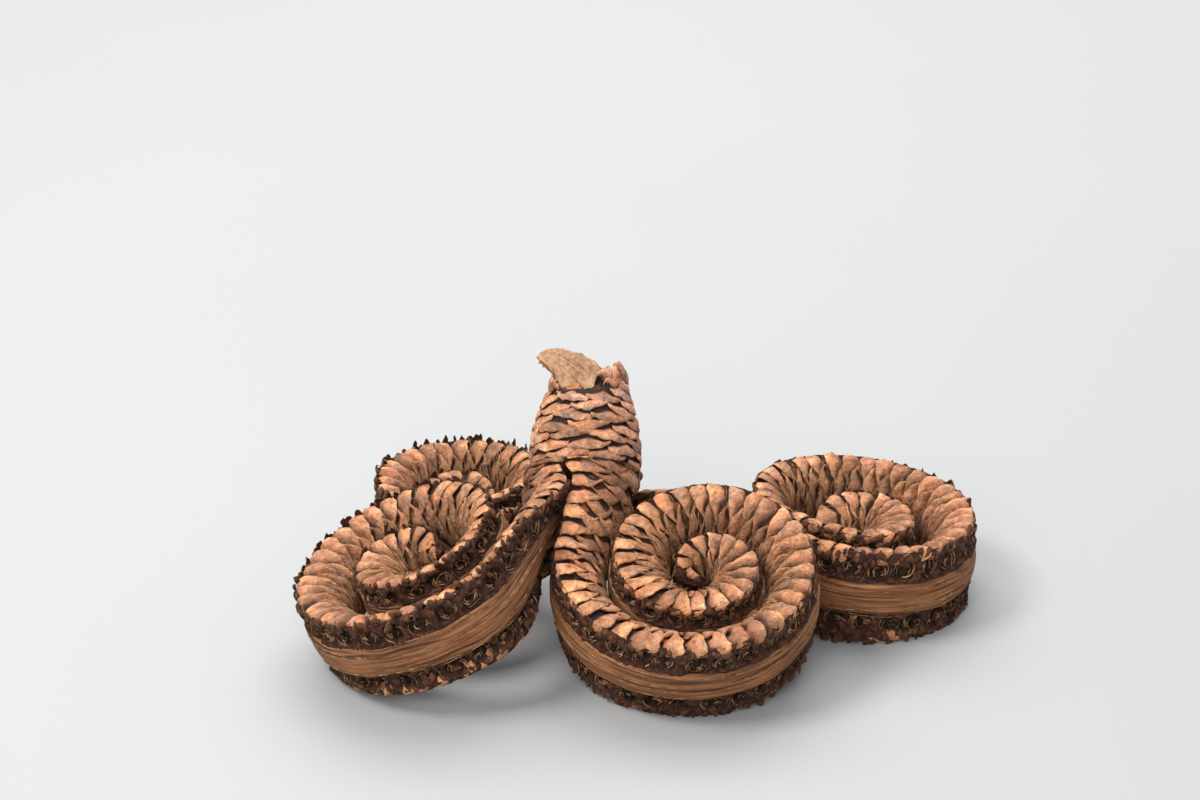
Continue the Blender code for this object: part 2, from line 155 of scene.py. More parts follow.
# Flower pits on the cut faces
PIT_PITCH = 8.4 * MM
PIT_RADIUS = 3.5 * MM
PIT_REACH = 0.34
PIT_DEPTH = 3.0 * MM
FIBRES_PER_PIT = 16

# Photograph's viewing angle
LENS = 85.0
SENSOR = 36.0
ELEVATION = math.radians(24.0)
CAMERA_DISTANCE = 1.0
LOOK_AT = Vector((-0.0130, 0.1595, 0.0))


def unit(vector):
    """Vector scaled to length one."""
    vector = np.asarray(vector, float)
    return vector / np.linalg.norm(vector)


def units(vectors):
    """Rows scaled to length one."""
    return vectors / np.maximum(np.linalg.norm(vectors, axis=-1, keepdims=True), 1e-12)


def smooth(x):
    """Ease from 0 to 1 as x goes from 0 to 1."""
    x = np.clip(x, 0.0, 1.0)
    return x * x * (3.0 - 2.0 * x)


AXIS = unit((math.tan(LEAN_RIGHT), math.sin(LEAN_BACK), math.cos(LEAN_BACK)))
FRONT = unit(np.array((0.0, -1.0, 0.0)) + AXIS[1] * AXIS)
RIGHT = np.cross(AXIS, FRONT) * -1.0
RIGHT = RIGHT * np.sign(RIGHT[0])


def outward(angle):
    """Direction out of the trunk at angles in degrees: 0 is the front, positive to the right."""
    angle = np.radians(np.asarray(angle, float))[..., None]
    return FRONT * np.cos(angle) + RIGHT * np.sin(angle)


def through(values, position):
    """Smooth curve through evenly spaced values, read at a position counted in values."""
    values = np.asarray(values, float)
    position = np.clip(position, 0.0, len(values) - 1 - 1e-9)
    i = np.floor(position).astype(int)
    f = position - i
    before = values[np.maximum(i - 1, 0)]
    here = values[i]
    after = values[i + 1]
    beyond = values[np.minimum(i + 2, len(values) - 1)]
    bend = 2 * before - 5 * here + 4 * after - beyond
    rest = 3 * here - before - 3 * after + beyond
    return 0.5 * (2 * here + (after - before) * f + bend * f**2 + rest * f**3)


def spline(points):
    """Dense points on a centripetal Catmull-Rom curve through the given points."""
    p = np.vstack([2 * points[0] - points[1], points, 2 * points[-1] - points[-2]])
    dense = []
    for i in range(1, len(p) - 2):
        gaps = np.sqrt(np.linalg.norm(np.diff(p[i - 1:i + 3], axis=0), axis=1))
        t = np.concatenate([[0.0], np.cumsum(gaps)])
        u = np.linspace(t[1], t[2], SPLINE_STEPS, endpoint=False)[:, None]

        def blend(first, second, low, high):
            return (t[high] - u) / (t[high] - t[low]) * first + (u - t[low]) / (t[high] - t[low]) * second

        a1 = blend(p[i - 1], p[i], 0, 1)
        a2 = blend(p[i], p[i + 1], 1, 2)
        a3 = blend(p[i + 1], p[i + 2], 2, 3)
        dense.append(blend(blend(a1, a2, 0, 2), blend(a2, a3, 1, 3), 1, 2))
    dense.append(p[-2][None])
    return np.vstack(dense)


def resample(points, step):
    """Points at an even spacing near step, and their distances along the line."""
    lengths = np.linalg.norm(np.diff(points, axis=0), axis=1)
    along = np.concatenate([[0.0], np.cumsum(lengths)])
    count = int(round(along[-1] / step))
    even = np.linspace(0.0, along[-1], count + 1)
    return np.stack([np.interp(even, along, points[:, k]) for k in range(3)], axis=1), even


class ArmPath:
    """Wood line of an arm with its frame: along the arm, towards its scaly side, and across."""

    def __init__(self, arm):
        self.arm = arm
        tilt_x, tilt_y = arm["tilt"]
        normal = np.array((tilt_x, tilt_y, math.sqrt(1 - tilt_x**2 - tilt_y**2)))
        across = unit(np.array((1.0, 0.0, 0.0)) - normal[0] * normal)
        deep = np.cross(normal, across)
        centre = np.array(arm["centre"]) * MM
        quarter = outward(arm["quarter"])

        turn = np.arange(arm["first"], arm["last"] + 1e-6, 0.25)
        radius = through(arm["radii"], turn) * MM + np.maximum(-turn, 0) * 6 * MM
        angle = math.radians(arm["start"]) + arm["sense"] * turn * math.pi / 2
        coil = centre + np.outer(radius * np.cos(angle), across) + np.outer(radius * np.sin(angle), deep)

        leave = unit(-AXIS + arm["splay"] * quarter)
        lead = [SLIT_TOP, SLIT_TOP + LEAVE_LENGTH * leave] + [np.array(p) * MM for p in arm["way"]]
        points = spline(np.array(lead + list(coil)))
        coil_start = points[len(lead) * SPLINE_STEPS]
        points, along = resample(points, PATH_STEP)
        lead_end = along[np.argmin(np.linalg.norm(points - coil_start, axis=1))]
        for _ in range(LEAD_SMOOTHING):
            points, along = resample(points, PATH_STEP)
            soft = 0.25 * np.maximum(1 - smooth((along - lead_end) / LEAD_BLEND), 0.12)[2:-1, None]
            for _ in range(100):
                points[2:-1] += soft * (points[1:-2] + points[3:] - 2 * points[2:-1])
        points, along = resample(points, PATH_STEP)
        solid_end = along[-1]
        bend = 1 / (arm["radii"][-1] * MM)
        heading = unit(points[-1] - points[-2])
        tail = [points[-1]]
        for _ in range(int(TAIL_LENGTH / PATH_STEP)):
            heading = unit(heading + arm["sense"] * np.cross(normal, heading) * PATH_STEP * bend)
            tail.append(tail[-1] + heading * PATH_STEP)
            bend *= 1.012
        points, along = resample(np.vstack([points, tail[1:]]), PATH_STEP)
        tangent = units(np.gradient(points, axis=0))
        tangent[0] = -AXIS
        soft = 0.25 * (1 - smooth((along - 0.7 * lead_end) / LEAD_BLEND))[1:-1, None]
        for _ in range(SECTION_SMOOTHING):
            tangent[1:-1] += soft * (tangent[:-2] + tangent[2:] - 2 * tangent[1:-1])
        tangent = units(tangent)

        carried = np.zeros_like(points)
        carried[0] = unit(quarter - np.dot(quarter, tangent[0]) * tangent[0])
        for i in range(1, len(points)):
            carried[i] = unit(carried[i - 1] - np.dot(carried[i - 1], tangent[i]) * tangent[i])
        side = np.cross(tangent, carried)
        inward = units(arm["sense"] * np.cross(normal, tangent))
        start = int(np.argmin(np.linalg.norm(points - coil_start, axis=1)))
        twist = np.unwrap(np.arctan2((inward * side).sum(1), (inward * carried).sum(1)))
        twist -= 2 * math.pi * np.round(twist[start] / (2 * math.pi))
        twist *= smooth(along / min(along[start], arm["twist_end"] * MM))
        self.scaly = carried * np.cos(twist)[:, None] + side * np.sin(twist)[:, None]
        self.across = np.cross(tangent, self.scaly)
        self.tangent = tangent
        self.points = points
        self.along = along
        self.length = along[-1]

        fine = np.linspace(arm["first"], arm["last"], 300)
        reach = np.concatenate([[0.0], np.cumsum(through(arm["radii"], fine))])[:-1]
        share = np.clip((along - along[start]) / (solid_end - along[start]), 0, 1)
        turn_at = np.interp(share, reach / reach[-1], fine)
        self.thickness = through(arm["thickness"], turn_at) * MM
        narrowing = np.clip((along - 60 * MM) / (solid_end - 60 * MM), 0, 1)
        self.width_factor = 1 - (1 - TIP_WIDTH_FACTOR) * narrowing**1.2

    def read(self, values, along):
        """Values of the line at distances along it."""
        if values.ndim == 1:
            return np.interp(along, self.along, values)
        return np.stack([np.interp(along, self.along, values[:, k]) for k in range(3)], axis=-1)

    def place(self, along, depth, offset):
        """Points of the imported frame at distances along, depths to the scaly side and offsets across."""
        return (self.read(self.points, along) + self.read(self.scaly, along) * depth[..., None]
                + self.read(self.across, along) * offset[..., None] - LAYOUT_MIDDLE)

    def shape(self, along):
        """How flat, how wide and how closed the section is, its thickness, half width and quarter angle."""
        flat = smooth(along / (self.arm["flat_by"] * MM))
        wide = smooth(along / (self.arm["wide_by"] * MM))
        tip = np.clip((self.length - along) / TIP_TAPER, 0, 1)
        closing = 0.35 + 0.65 * np.sqrt(tip)
        thick = self.read(self.thickness, along) * closing
        half = self.arm["half_width"] * MM * self.read(self.width_factor, along) * closing
        quarter = math.pi / 4 - math.radians(self.arm["kerf"]) * smooth((along - KERF_START) / KERF_LENGTH)
        return flat, wide, tip, closing, thick, half, quarter

    def arc(self, along, a, height):
        """Points over the scaly arc: a runs from rim to rim, and down the cut face beyond -1 and 1."""
        flat, wide, tip, closing, thick, half, quarter = self.shape(along)
        inside = np.clip(a, -1.0, 1.0)
        beyond = a - inside
        quarter_angle = inside * quarter
        open_angle = inside * OPEN_ANGLE
        depth = (1 - flat) * TRUNK_RADIUS * np.cos(quarter_angle)
        depth += flat * thick * (0.23 + 0.77 * np.cos(open_angle))
        offset = (1 - wide) * TRUNK_RADIUS * np.sin(quarter_angle)
        offset += wide * half * np.sin(np.clip(open_angle, -math.pi / 2, math.pi / 2))
        turned = np.clip(np.abs(beyond) / 0.06, 0, 1) * FACE_TURN * np.sign(beyond)
        way_out = (1 - flat) * quarter_angle + flat * open_angle + turned
        down = np.abs(beyond) * RIM_WRAP
        strip = STRIP_HALF_WIDTH * self.read(self.width_factor, along) * closing
        face_depth = (1 - flat) * (CORE_RADIUS - TRUNK_RADIUS) * np.cos(quarter)
        face_depth = face_depth + flat * (0.4 * MM - 0.123 * thick)
        face_offset = (1 - wide) * (CORE_RADIUS - TRUNK_RADIUS) * np.sin(quarter) + wide * (strip - half)
        depth += height * np.cos(way_out) + down * face_depth
        offset += height * np.sin(way_out) + down * face_offset * np.sign(beyond)
        return self.place(np.clip(along, 0.0, self.length), depth, offset)

    def arc_length(self, along):
        """Length of the scaly arc from rim to rim."""
        a = np.linspace(-1, 1, 25)
        points = self.arc(np.full(25, along), a, np.zeros(25))
        return float(np.linalg.norm(np.diff(points, axis=0), axis=1).sum())


def wander(x, rng, period, terms=4):
    """Smooth random curve of x, within about -1 to 1, with waves near the given period."""
    total = np.zeros_like(np.asarray(x, float))
    for _ in range(terms):
        wave = 2 * math.pi / (period * rng.uniform(0.6, 1.8))
        total = total + np.sin(x * wave + rng.uniform(0, 2 * math.pi))
    return total / terms**0.5


def trunk_radius(down):
    """Radius of the trunk at a distance below its top; above 0 it closes over the shoulder."""
    radius = TRUNK_TOP_RADIUS + (TRUNK_RADIUS - TRUNK_TOP_RADIUS) * np.sin(
        math.pi / 2 * np.clip(down / (0.75 * TRUNK_LENGTH), 0.0, 1.0))
    shoulder = np.clip(-down / (5.0 * MM), 0.0, 1.0)
    return radius * np.sqrt(np.maximum(1 - (0.85 * shoulder)**2, 0.0))


def notch(angle):
    """Share from 0 to 1 by which the trunk's top is torn away at angles in degrees."""
    away = np.abs((np.asarray(angle, float) - NOTCH_ANGLE + 180) % 360 - 180)
    return smooth((NOTCH_HALF - away) / 16.0)


def trunk_place(down, angle, height):
    """Points over the trunk: distances below its top, angles in degrees, heights above the surface."""
    rise = np.where(down < 0, -down * 0.75, -down)
    return (SLIT_TOP + AXIS * (TRUNK_LENGTH + rise)[..., None]
            + outward(angle) * (trunk_radius(down) + height)[..., None] - LAYOUT_MIDDLE)


def make_piece(name, points, faces, attributes, node, material):
    """Mesh piece that rides on the pod's one body, stands for one of its solids, whose node it hides, and
    carries the given material.
    """
    mesh = bpy.data.meshes.new(name)
    faces = np.asarray(faces)
    points = np.array(points, float)
    points[:, 2] = np.maximum(points[:, 2], 0.0)
    mesh.vertices.add(len(points))
    mesh.vertices.foreach_set("co", np.asarray(points, np.float32).ravel())
    mesh.loops.add(faces.size)
    mesh.loops.foreach_set("vertex_index", faces.ravel().astype(np.int32))
    mesh.polygons.add(len(faces))
    mesh.polygons.foreach_set("loop_start", np.arange(0, faces.size, faces.shape[1], dtype=np.int32))
    mesh.update(calc_edges=True)
    mesh.validate()
    mesh.polygons.foreach_set("use_smooth", np.full(len(mesh.polygons), True))
    for key, values in attributes.items():
        layer = mesh.attributes.new(key, "FLOAT", "POINT")
        layer.data.foreach_set("value", np.asarray(values, np.float32))
    mesh.materials.append(material)
    piece = bpy.data.objects.new(name, mesh)
    bpy.context.scene.collection.objects.link(piece)
    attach(piece, "root")
    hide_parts(node)
    return piece


def grid_faces(rows, columns, closed=False):
    """Quads of a grid of points stored row by row."""
    r = np.arange(rows - 1)[:, None]
    c = np.arange(columns if closed else columns - 1)[None, :]
    after = (c + 1) % columns
    return np.stack([r * columns + c, r * columns + after,
                     (r + 1) * columns + after, (r + 1) * columns + c], axis=-1).reshape(-1, 4)


def scale_faces(rows, under, columns):
    """Quads of one scale: its top, its underside near the tip, and the edges between them."""
    start = rows * columns
    faces = list(grid_faces(rows, columns))
    faces += [face[::-1] + start for face in grid_faces(under, columns)]
    first = rows - under
    for c in range(columns - 1):
        top, low = (rows - 1) * columns + c, start + (under - 1) * columns + c
        faces.append((top, top + 1, low + 1, low))
    for r in range(under - 1):
        for c, turn in ((0, 1), (columns - 1, -1)):
            ring = [(first + r) * columns + c, (first + r + 1) * columns + c,
                    start + (r + 1) * columns + c, start + r * columns + c]
            faces.append(ring[::turn])
    return np.array(faces)


def build_scales(place, scales, pitch, drop, rng, thickness=SCALE_THICKNESS, sink=SINK, rough=1.0,
                 grid=(FINE_ROWS, FINE_COLUMNS)):
    """Points, quads and attributes of many overlapping scales laid over a surface.

    place turns distance, position across and height into points. Each row of scales is: distance of its
    tip, position of its middle, half width, rise of its free edge, and which of its ends lies free at a
    rim (-1, 0 or 1). The part that shows is a lens: above it the row before closes over its root, and
    its own free edge runs back from the tip towards both ends.
    """
    n = len(scales)
    top_rows, columns = np.array(grid[0]), grid[1]
    low_rows = top_rows[len(top_rows) // 2 + 1:]
    rows, under_rows = len(top_rows), len(low_rows)
    each = scale_faces(rows, under_rows, columns)
    across = np.sin(np.linspace(-1.2, 1.2, columns)) / math.sin(1.2)
    f = np.concatenate([np.repeat(top_rows, columns), np.repeat(low_rows, columns)])[None]
    q = np.tile(across, rows + under_rows)[None]
    under = np.concatenate([np.zeros(rows * columns), np.ones(under_rows * columns)])[None]
    tips, centres, half_widths, rises, rims = [column[:, None] for column in np.array(scales, float).T]
    phase = rng.uniform(0, 2 * math.pi, (n, 4, 1))
    skew = rng.normal(0, 0.50, (n, 1)) * MM
    own_drop = drop * rng.uniform(0.75, 1.2, (n, 1))

    free = q * rims > 0
    back = own_drop * np.where(free, 0.30 * np.abs(q)**6, np.abs(q)**1.9)
    ragged = 0.26 * np.sin(3.1 * q + phase[:, 0]) + 0.20 * np.sin(7.7 * q + phase[:, 1])
    ragged = ragged + 0.13 * np.sin(17 * q + phase[:, 2])
    edge = tips - back + ragged * rough * MM + skew * q
    covered = np.minimum(pitch + drop * (1 - np.abs(q))**2, 2 * pitch + drop * q**2)
    covered = np.where(free, 2 * pitch + 0.3 * drop * np.abs(q)**6, covered)
    shown = np.maximum(covered - back, 0.75 * pitch)
    s = edge - (1 - f) * shown

    rise = np.clip(f, 0, 1)**1.4
    gape = 0.60 + 0.40 * np.sin(2.3 * q + phase[:, 3])
    height = rises * gape * rise - sink * (1 - smooth((f + 0.05) / 0.40))
    height = height + 0.40 * MM * np.sin(math.pi * np.clip(f, 0, 1)) * (1 - 0.4 * np.abs(q))
    height = height - 0.25 * MM * smooth((f - 0.86) / 0.14)
    height = height - 0.35 * MM * np.abs(q)**3 * (1 - free)
    height = height - free * 1.5 * MM * smooth((np.abs(q) - 0.84) / 0.16)
    height = height + 0.12 * MM * np.sin(9 * q + 5 * f + phase[:, 1]) * np.clip(f, 0, 1)
    height = height - under * thickness * (1.25 - 0.5 * np.clip(f, 0, 1))
    points = place(s, centres + q * half_widths * (1 - 0.16 * np.clip(f, 0, 1)**4), height).reshape(-1, 3)
    size = f.shape[1]
    faces = (each[None] + (np.arange(n) * size)[:, None, None]).reshape(-1, 4)
    return points, faces, {
        "tone": np.repeat(rng.uniform(0, 1, n), size),
        # The underside near the tip gets a lower reach, so that the ramp paints it darker: painted shade
        # under the free edge.
        "reach": np.broadcast_to(np.clip(f, 0, 1) * (1 - 0.6 * under), (n, size)).ravel(),
        "side": np.broadcast_to(q, (n, size)).ravel(),
        "rim": np.broadcast_to(np.clip(np.abs(centres + q * half_widths), 0, 1), (n, size)).ravel(),
    }


def arm_scales(path, rng):
    """All scales of one arm: rows offset by half a scale, with blunt fingers along both rims."""
    scales = []
    start = 1.5 * MM
    count = int((path.length - start) / ROW_PITCH)
    for row in range(count + 2):
        s = start + row * (path.length - start) / count
        arc = path.arc_length(min(s, path.length - 2 * MM))
        across = max(2, int(round(arc / SCALE_WIDTH)))
        if row % 2:
            places = [-1 + 2 * k / across for k in range(1, across)]
        else:
            places = [-1 + (2 * k + 1) / across for k in range(across)]
        for k, a in enumerate(places):
            rim = 0 if row % 2 or 0 < k < across - 1 else (-1 if k == 0 else 1)
            wrap = {1: 0.075, 0: 0.0, -1: 0.035}[rim]
            half = 1.06 / across * rng.uniform(0.95, 1.06) + wrap
            middle = a + wrap * rim + rng.normal(0, 0.012)
            rise = (rng.uniform(0.0, 0.75) + (0.25 if rim else 0.0)) * MM
            scales.append((s + rng.normal(0, 0.55) * MM, middle, half, rise, rim))
    return build_scales(path.arc, scales, ROW_PITCH, SCALE_DROP, rng, rough=1.3)


def sunk_trunk(down, angle, height):
    """Points over the trunk for its scales, which sit a little deeper than its surface."""
    return trunk_place(down, angle, height - TRUNK_SINK)


def trunk_scales(rng):
    """Wide flat scales round the trunk, from its torn top to the slit."""
    scales = []
    rows = int(round(TRUNK_LENGTH / TRUNK_ROW)) + 2
    for row in range(-1, rows):
        down = (row + 0.6) * TRUNK_ROW
        for j in range(TRUNK_SCALES):
            if row < 0 and rng.random() < 0.35:
                continue
            angle = CRACK_ANGLE + (j + 0.5 * (row % 2)) * 360.0 / TRUNK_SCALES + rng.normal(0, 2.0)
            half = 180.0 / TRUNK_SCALES * rng.uniform(1.0, 1.14)
            if down < (NOTCH_DEPTH - 0.5 * MM) * notch(angle):
                continue
            scales.append((down + rng.normal(0, 0.30) * MM, angle, half, rng.uniform(0.0, 0.8) * MM, 0))
    return build_scales(sunk_trunk, scales, TRUNK_ROW, TRUNK_DROP, rng)


def collar_place(up, angle, height):
    """Points of the collar, which leans in towards the stub: distances above the trunk's top."""
    shrink = np.clip(up / (9 * MM), 0, 1)
    radius = TRUNK_TOP_RADIUS - 0.9 * MM - 1.8 * MM * shrink**1.5 + height
    return (SLIT_TOP + AXIS * (TRUNK_LENGTH + up)[..., None] + outward(angle) * radius[..., None]
            - LAYOUT_MIDDLE)


def torn_collar(rng):
    """Broken scale bases that stand up round the stub."""
    scales = []
    for ring, (low, high) in enumerate(((1.0, 3.6), (2.2, 5.4))):
        for j in range(COLLAR_SCALES):
            angle = 360.0 / COLLAR_SCALES * j + 20 * ring + rng.normal(0, 7)
            up = rng.uniform(low, high) * MM - 7.5 * MM * notch(angle)
            scales.append((up, angle, rng.uniform(12, 25), rng.uniform(-0.8, 0.9) * MM, 0))
    for up, angle, half in ((8.4, 60, 20), (7.0, 84, 26), (5.6, 40, 13), (5.0, 110, 26), (3.4, -88, 20)):
        scales.append((up * MM, float(angle), float(half), rng.uniform(0.2, 1.2) * MM, 0))
    return build_scales(collar_place, scales, 3.4 * MM, 3.6 * MM, rng, rough=2.0)


def rim_flakes(path, rng, upper_reach):
    """Torn flakes and bristles along both rims, hanging past the lower one."""
    flakes = {1: [], -1: []}
    for side, spacing, short, long, widest in ((1, 2.6, -2.0, upper_reach, 2.0), (-1, 1.4, -1.6, 3.0, 1.6)):
        for along in np.arange(16 * MM, path.length - 6 * MM, spacing * MM):
            out = rng.uniform(short, long) * MM
            flakes[side].append((out, along + rng.normal(0, 0.6) * MM, rng.uniform(0.6, widest) * MM,
                                 rng.uniform(-0.3, 1.4) * MM, 0))
    parts = []
    for side, many in flakes.items():
        def hang(out, along, height):
            t = -out / (9.0 * MM)
            return band_point(path, np.clip(along, 0, path.length), t, height + 0.3 * MM, side)
        parts.append(build_scales(hang, many, 2.3 * MM, 1.3 * MM, rng, thickness=0.4 * MM, sink=1.2 * MM,
                                  grid=(FLAKE_ROWS, FLAKE_COLUMNS)))
    offset = len(parts[0][0])
    points = np.concatenate([parts[0][0], parts[1][0]])
    faces = np.concatenate([parts[0][1], parts[1][1] + offset])
    attributes = {key: np.concatenate([p[2][key] for p in parts]) for key in parts[0][2]}
    attributes["rim"] = np.full(len(points), 0.9)
    return points, faces, attributes


def pit_pattern(path, side, rng):
    """Places of the sliced flower pits of one band: distances, positions across the band, sizes."""
    first = 14 * MM + (0.5 * PIT_PITCH if side < 0 else 0.0)
    at = np.arange(first, path.length - 8 * MM, PIT_PITCH)
    n = len(at)
    at = at + rng.normal(0, 0.45 * MM, n)
    return at, 0.60 + rng.normal(0, 0.035, n), rng.uniform(0.82, 1.14, n), rng.uniform(0.55, 1.1, n)


def band_point(path, along, t, out, side):
    """Points over a band of the cut face: t runs from the rim to the wood, out is the height above it."""
    flat, wide, tip, closing, thick, half, quarter = path.shape(along)
    rim_depth = (1 - flat) * TRUNK_RADIUS * np.cos(quarter) + flat * thick * 0.123
    rim_offset = (1 - wide) * TRUNK_RADIUS * np.sin(quarter) + wide * half
    strip = (STRIP_HALF_WIDTH + 0.1 * MM) * path.read(path.width_factor, along) * closing
    edge_depth = (1 - flat) * CORE_RADIUS * np.cos(quarter) + flat * 0.4 * MM
    edge_offset = (1 - wide) * CORE_RADIUS * np.sin(quarter) + wide * strip
    depth = rim_depth + (edge_depth - rim_depth) * t - out
    offset = side * (rim_offset + (edge_offset - rim_offset) * t)
    return path.place(along, depth, offset)


def arm_core(path, rng):
    """Body under the scales of one arm, with the cut face and its pits."""
    rings = int(path.length / BODY_RING)
    along = np.linspace(0.3 * MM, path.length - 0.4 * MM, rings)
    a = np.linspace(-1, 1, 21)
    s_arc, a_arc = np.meshgrid(along, a, indexing="ij")
    inset = -CORE_INSET * (1 - 0.5 * np.abs(a_arc)**6)
    arc = path.arc(s_arc, a_arc, inset)

    bands, pits = [], []
    t = np.linspace(0.0, 1.0, 17)
    for side in (1, -1):
        at, middle, size, deep = pit_pattern(path, side, rng)
        s_band, t_band = np.meshgrid(along, t, indexing="ij")
        i = np.clip(np.searchsorted(at, s_band), 1, len(at) - 1)
        i = np.where(np.abs(s_band - at[i - 1]) < np.abs(s_band - at[i]), i - 1, i)
        bent = 0.5 * MM * wander(t_band * 3 + at[i] * 700, rng, 2.0)
        r = (np.abs((s_band - at[i] + bent) / (PIT_RADIUS * size[i]))**2.6
             + np.abs((t_band - middle[i]) / PIT_REACH)**2.6)**(1 / 2.6)
        flat, wide, tip = path.shape(s_band)[:3]
        sunk = smooth((1.12 - r) / 0.36) * flat * tip
        uneven = (wander(s_band, rng, 2.0 * MM) + wander(t_band + 40 * s_band, rng, 0.3)) * 0.16 * MM
        wall = (0.55 + 0.45 * wander(s_band + 0.004 * t_band, rng, 5 * MM)) * MM
        wall = wall * smooth((r - 0.90) / 0.25) * np.sin(math.pi * np.clip(t_band * 0.93, 0, 1))
        out = wall * flat + uneven * flat - PIT_DEPTH * deep[i] * sunk
        bands.append(band_point(path, s_band, t_band, out, side))
        pits.append(sunk)
    pair = along[:, None] * np.ones(2)
    flat, wide, tip, closing = path.shape(pair)[:4]
    floor = path.place(pair, flat * STRIP_DEPTH + (1 - flat) * CORE_RADIUS,
                       wide * STRIP_HALF_WIDTH * 0.8 * np.array((1, -1)) * closing)
    ring = np.concatenate([arc, bands[0], floor, bands[1][:, ::-1]], axis=1)
    pit = np.concatenate([np.zeros(arc.shape[:2]), pits[0], np.zeros((rings, 2)), pits[1][:, ::-1]], axis=1)
    face = np.concatenate([np.zeros(arc.shape[:2]), np.ones((rings, ring.shape[1] - len(a)))], axis=1)
    columns = ring.shape[1]
    points = ring.reshape(-1, 3)
    faces = grid_faces(rings, columns, closed=True)
    return points, faces, {"pit": pit.ravel(), "cut": face.ravel()}


def trunk_core():
    """Trunk under its scales, closed over the shoulder."""
    down = np.concatenate([np.linspace(-3.0 * MM, 0, 8), np.linspace(0, TRUNK_LENGTH + 2 * MM, 26)[1:]])
    angle = np.linspace(0, 360, 48, endpoint=False)
    d, g = np.meshgrid(down, angle, indexing="ij")
    d = d + NOTCH_DEPTH * notch(g) * (1 - smooth((d + 3 * MM) / (13 * MM)))
    points = trunk_place(d, g, np.full(d.shape, -CORE_INSET)).reshape(-1, 3)
    none = np.zeros(len(points))
    return points, grid_faces(len(down), len(angle), closed=True)[:, ::-1], {"pit": none, "cut": none}


def strip_wood(path, rng):
    """Strip of wood along one arm, with its grain cut into it."""
    reach = path.length - TIP_TAPER + 1 * MM
    rings = int(reach / WOOD_RING)
    along = np.linspace(0.5 * MM, reach, rings)
    w = np.linspace(-1, 1, 29)
    s, w = np.meshgrid(along, w, indexing="ij")
    flat, wide, tip, closing, thick, half, quarter = path.shape(s)
    width = STRIP_HALF_WIDTH * 1.06 * path.read(path.width_factor, s) * closing
    width = width * (1 + 0.05 * wander(s, rng, 14 * MM))
    relief = np.zeros_like(s)
    for _ in range(WOOD_GROOVES):
        middle = rng.uniform(-0.95, 0.95) + 0.07 * wander(s, rng, 55 * MM)
        narrow = rng.uniform(0.02, 0.055)
        depth = rng.uniform(0.15, 0.55) * MM
        fading = smooth(0.5 + 0.8 * wander(s, rng, 60 * MM))
        relief -= depth * fading * np.exp(-((w - middle) / narrow)**2)
    relief += 0.08 * MM * wander(w * 30 + 3 * wander(s, rng, 40 * MM), rng, 6.0)
    front = -(0.7 * MM * (1 - w**2) + relief) * flat
    edge_depth = (1 - flat) * CORE_RADIUS * np.cos(quarter) + flat * 0.25 * MM
    edge_offset = (1 - wide) * CORE_RADIUS * np.sin(quarter) + wide * width
    points = path.place(s, edge_depth + front, w * edge_offset)
    s_back, w_back = np.meshgrid(along, (0.8, -0.8), indexing="ij")
    flat, wide, tip, closing = path.shape(s_back)[:4]
    inner = (1 - flat) * CORE_RADIUS * math.cos(math.pi / 12) + flat * STRIP_DEPTH
    inner_width = (1 - wide) * CORE_RADIUS * 0.3 + wide * STRIP_HALF_WIDTH * 0.9
    back = path.place(s_back, inner, w_back * inner_width)
    ring = np.concatenate([points, back], axis=1)
    grain_along = np.concatenate([s, s_back], axis=1).ravel()
    grain_across = np.concatenate([w, w_back], axis=1).ravel() * 5.0 * MM
    # Depth of each groove, from which the grooves are painted darker as shade; the hidden back counts as
    # fully deep.
    groove = np.concatenate([np.clip(-relief / (0.5 * MM), 0, 1), np.ones_like(s_back)], axis=1).ravel()
    return (ring.reshape(-1, 3), grid_faces(rings, ring.shape[1], closed=True)[:, ::-1],
            {"grain_along": grain_along, "grain_across": grain_across, "groove": groove})


def tubes(lines, radii):
    """Three-sided tubes along many lines of the same number of points, thinning to their ends."""
    lines = np.asarray(lines, float)
    n, m = lines.shape[:2]
    tangent = units(np.gradient(lines, axis=1))
    reference = np.where(np.abs(tangent[..., 2:3]) < 0.8, np.array((0.0, 0.0, 1.0)), np.array((1.0, 0, 0)))
    first = units(np.cross(tangent, reference))
    second = np.cross(tangent, first)
    thin = (1 - 0.7 * np.linspace(0, 1, m)**3)[None, :, None] * np.asarray(radii)[:, None, None]
    rings = []
    for k in range(3):
        turn = 2 * math.pi * k / 3
        rings.append(lines + thin * (first * math.cos(turn) + second * math.sin(turn)))
    points = np.stack(rings, axis=2).reshape(-1, 3)
    each = grid_faces(m, 3, closed=True)
    faces = (each[None] + (np.arange(n) * m * 3)[:, None, None]).reshape(-1, 4)
    reach = np.tile(np.repeat(np.linspace(0, 1, m), 3), n)
    return points, faces, {"reach": reach, "tone": np.repeat(np.linspace(0, 1, n), m * 3)}


def pit_fibres(path, rng):
    """Curled fibres in the pits of one arm: most follow the walls, some cross the hollow."""
    lines, radii = [], []
    steps = np.linspace(0, 1, 6)
    for side in (1, -1):
        at, middle, size, deep = pit_pattern(path, side, rng)
        for here, centre, wide in zip(at, middle, size):
            for k in range(FIBRES_PER_PIT):
                wall = rng.choice((0.0, math.pi)) if k % 4 else rng.uniform(0, 2 * math.pi)
                sweep = rng.uniform(0.8, 2.4)
                angle = wall + sweep * (steps - 0.5) + rng.normal(0, 0.25)
                r = rng.uniform(0.45, 1.12) + 0.10 * np.sin(5 * steps + wall) - 0.25 * steps * rng.random()
                s = here + PIT_RADIUS * wide * r * np.cos(angle)
                t = centre + PIT_REACH * r * np.sin(angle)
                out = (rng.uniform(-2.2, -0.3) + rng.uniform(0.2, 1.5) * steps**1.5) * MM
                lines.append(band_point(path, np.clip(s, 0, path.length), t, out, side))
                radii.append(rng.uniform(0.09, 0.24) * MM)
    return tubes(np.array(lines), radii)


